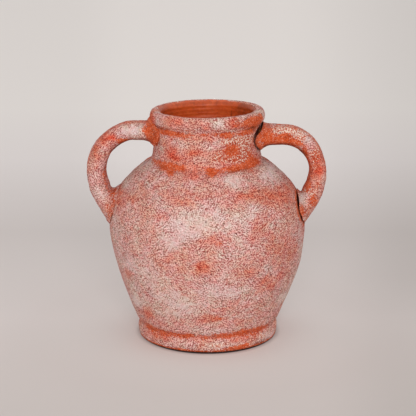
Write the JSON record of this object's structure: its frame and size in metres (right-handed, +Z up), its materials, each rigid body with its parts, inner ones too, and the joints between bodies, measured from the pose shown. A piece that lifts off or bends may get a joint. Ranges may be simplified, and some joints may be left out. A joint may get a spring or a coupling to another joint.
{
  "type": "terracotta vase",
  "caption": "Round-bellied terracotta vase with a loop handle on each side, collar neck, rolled rim and foot, in a rough white limewash; holds cut or dried stems.",
  "frame": {"origin": "centre of the resting face under the foot", "axes": "+Z up through the mouth, X through both handles, -Y is the front"},
  "size_m": [0.25, 0.2042, 0.24],
  "materials": {
    "limewashed_terracotta": "matte",
    "bare_terracotta": "matte",
    "joint_slip": "matte"
  },
  "bodies": {
    "root": {"floor_slab": "bare_terracotta", "foot_ring": "limewashed_terracotta", "foot_joint_slip": "joint_slip", "belly_wall": "limewashed_terracotta", "neck_collar": "limewashed_terracotta", "neck_joint_slip": "joint_slip", "rim_roll": "limewashed_terracotta", "rim_joint_slip": "joint_slip", "left_handle": "limewashed_terracotta", "left_upper_joint_clay": "joint_slip", "left_lower_joint_clay": "joint_slip", "right_handle": "limewashed_terracotta", "right_upper_joint_clay": "joint_slip", "right_lower_joint_clay": "joint_slip"}
  },
  "joints": []
}
